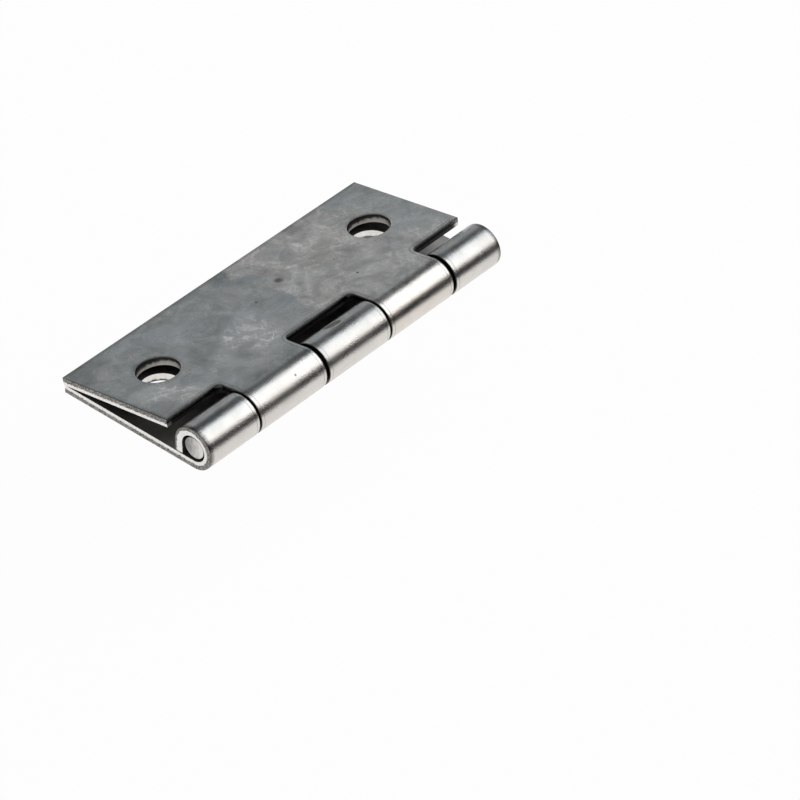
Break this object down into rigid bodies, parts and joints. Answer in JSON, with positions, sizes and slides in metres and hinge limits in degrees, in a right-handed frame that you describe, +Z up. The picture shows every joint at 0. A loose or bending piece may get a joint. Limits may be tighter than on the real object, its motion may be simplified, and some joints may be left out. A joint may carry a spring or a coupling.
{
  "type": "butt hinge",
  "caption": "Steel butt hinge with rolled, interlocking knuckles on a plain pin; flat leaves with round fixing holes swing about the pin.",
  "frame": {"origin": "on the lower leaf's mounting face, midway between its two fixing holes", "axes": "+X along the pin, +Y from the pin towards the leaves' free edges, +Z up from the lower mounting face"},
  "size_m": [0.0602, 0.0277, 0.0067],
  "materials": {
    "leaf_steel": "bright cold-rolled steel, satin",
    "pin_steel": "drawn steel wire, cropped ends"
  },
  "bodies": {
    "lower_leaf": {"three_knuckle_leaf": "leaf_steel", "hinge_pin": "pin_steel"},
    "upper_leaf": {"two_knuckle_leaf": "leaf_steel"}
  },
  "joints": [
    {"name": "leaf_swing", "type": "hinge", "parent": "lower_leaf", "child": "upper_leaf", "pos_m": [0, -0.0139, 0.00335], "axis": [1, 0, 0], "range_deg": [0, 287.5]}
  ]
}
